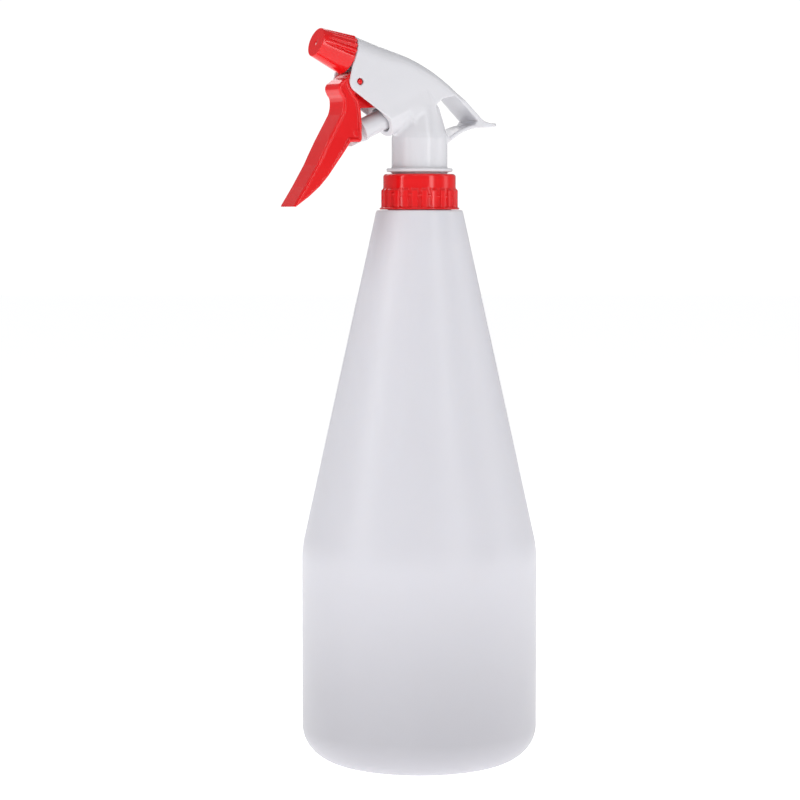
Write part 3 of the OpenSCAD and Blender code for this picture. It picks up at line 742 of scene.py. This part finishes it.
bottle = turned("bottle_shell", bottle_profile(), 192)
add_piece("bottle_shell", bottle, "bottle", MILKY, ["bottle"])
NECK_PITCH, NECK_TURNS = 4.23, 1.4
thread = helix("bottle_thread", 12.55, NECK_PITCH * NECK_TURNS, NECK_TURNS, 1.08, MILKY,
               Matrix.Translation((0, 0, 0.2231)), 64, 12)
add_piece("bottle_thread", thread, "bottle", MILKY)

# ---------------------------------------------------------------- collar
BAND_R, UPPER_R = 15.25, 14.4
SLOT_LOW, SLOT_TOP, SLOT_HALF, SLOT_FLOOR = 221.9, 229.4, 0.8, 14.45


def collar_profile():
    pts = [(14.0, 221.0), (15.45, 221.0), (15.75, 221.08), (15.85, 221.25), (15.85, 221.55), (15.72, 221.72),
           (15.4, 221.82), (BAND_R, 221.95)]
    pts += [(BAND_R, 221.95 + 0.2 * i) for i in range(1, 33)]
    pts += [(15.22, 228.5), (15.1, 228.7), (14.85, 228.95), (14.6, 229.2), (14.45, 229.5), (UPPER_R, 229.9),
            (UPPER_R, 231.5)]
    pts += [(13.2 + 1.2 * math.cos(a), 233.9 + 1.2 * math.sin(a))
            for a in [math.radians(90 * i / 8) for i in range(9)]]
    return pts + [(11.6, 235.1), (11.4, 235.0), (11.35, 234.8), (11.35, 233.5), (13.2, 233.5), (13.2, 230.4),
                  (14.0, 229.8)]


def collar_slot(r, z, angle):
    """Grip slots with arched tops that run out through the step into the upper part."""
    if r < SLOT_FLOOR or z < 221.6 or z > 229.9:
        return r, z
    u = abs(angle) * BAND_R
    top = SLOT_TOP - SLOT_HALF
    out = math.hypot(u, max(z - top, 0)) - SLOT_HALF
    out = max(out, SLOT_LOW - z)
    t = min(max(0.5 - out / 0.36, 0), 1)
    return r - (r - SLOT_FLOOR) * t * t * (3 - 2 * t), z


collar = sector_round("collar_ring", collar_profile(), 24, 26, collar_slot, RED)
add_piece("collar_ring", collar, "collar", RED, ["collar"])
thread = helix("collar_thread", 14.15, 4.23, 1.0, 0.7, RED, Matrix.Translation((0, 0, 0.225215)), 64, 12)
add_piece("collar_thread", thread, "collar", RED)

# ---------------------------------------------------------------- nozzle cap
CAP_L, CAP_REAR, CAP_FRONT = 14.3, 7.97, 5.85


def cap_profile():
    """Down the cap's outside from the orifice, then back through its socket."""
    edge = 0.28
    pts = [(0.35, CAP_L - 1.2), (0.35, CAP_L - 0.03), (0.38, CAP_L), (2.0, CAP_L), (3.6, CAP_L), (4.8, CAP_L),
           (5.3, CAP_L)]
    pts += [(CAP_FRONT - edge + edge * math.sin(a), CAP_L - edge + edge * math.cos(a))
            for a in [math.radians(90 * i / 6) for i in range(1, 7)]]
    pts += [(CAP_FRONT + (CAP_REAR - CAP_FRONT) * i / 44, CAP_L - edge + (0.45 - CAP_L + edge) * i / 44)
            for i in range(1, 45)]
    pts += [(7.95, 0.25), (7.85, 0.1), (7.65, 0.05), (6.1, 0.05), (5.85, 0.15), (5.8, 0.4), (5.8, 10.2),
            (3.3, 10.2), (3.3, 11.4), (0.35, 11.4)]
    return pts[::-1]


def cap_shape(r, z, angle):
    """Wedge-shaped flutes over the upper half, wider to the rear; a broad smooth grip below."""
    if r < CAP_FRONT - 0.01 or z > CAP_L - 0.3:
        return r, z, angle
    back = min(max((CAP_L - 1.2 - z) / (CAP_L - 1.6), 0), 1)
    degrees = math.degrees(angle)
    from_top = abs((degrees + 180) % 360 - 180)
    fluted = min(max((102 - from_top) / 3, 0), 1)
    # Columns of the mesh slide round to the flute's edges, so they stay crisp.
    pitch = 20.0
    turn = ((degrees - pitch / 2) / pitch + 0.5) % 1 - 0.5
    half = 0.20 + 0.20 * back
    step = abs(turn) * 18
    moved = half * step / 7 if step <= 7 else half + (step - 7) / 2 * (0.5 - half)
    t = math.cos(math.pi / 2 * min(moved / half, 1))
    moved = math.copysign(moved, turn)
    end = min(max(z / 0.5, 0), 1)
    deep = fluted * (0.3 + 0.7 * back) * 1.05 * min(back * 5, 1) * (0.6 + 0.4 * end)
    return r - deep * t, z, angle + math.radians((moved - turn) * pitch)


def whole_round(name, profile, sides, shape, place):
    verts, faces = [], []
    n = len(profile)
    for i in range(sides):
        a = 2 * math.pi * i / sides
        for r, z in profile:
            r2, z2, a2 = shape(r, z, a)
            verts.append((r2 * math.cos(a2), r2 * math.sin(a2), z2))
    for i in range(sides):
        for k in range(n):
            a, b = i * n + k, i * n + (k + 1) % n
            j, c = (a + n) % (n * sides), (b + n) % (n * sides)
            faces.append([a, j, c, b])
    return build_mesh(name, verts, faces, place)


cap = whole_round("nozzle_cap_shell", cap_profile(), 324, cap_shape, ON_NOZZLE)
add_piece("nozzle_cap_shell", cap, "nozzle_cap", RED, ["nozzle_cap"])

# ---------------------------------------------------------------- springs
PISTON_HOLLOW = 7.5
spring = helix("return_spring_wire", 2.25, BORE_END + PISTON_HOLLOW - 0.8, 12, 0.35, STEEL,
               ON_PUMP @ Matrix.Translation((0, 0, (0.4 - PISTON_HOLLOW) * MM)), 32, 12)
spring = add_piece("return_spring_wire", spring, "head", STEEL, ["return_spring"])
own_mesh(spring)
spring = helix("valve_spring_wire", 1.7, 3.9, 5, 0.175, STEEL,
               ON_NOZZLE @ Matrix.Translation((0, 0, -1.75 * MM)), 28, 10)
spring = add_piece("valve_spring_wire", spring, "head", STEEL, ["valve_spring"])
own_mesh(spring)

# ---------------------------------------------------------------- pieces kept from the part
KEPT = {"neck_gasket": LINER, "tube_adapter": GREY, "inlet_ball": BALL, "dip_tube": TUBE,
        "tube_strainer": GREY, "piston": WHITE, "piston_seal_front": RUBBER, "piston_seal_rear": RUBBER,
        "outlet_valve": BALL, "swirl_core": GREY, "nozzle_seal": LINER}
for node, material in KEPT.items():
    slots = frame["nodes"][node].material_slots
    for one in slots:
        one.link = "OBJECT"
        one.material = material
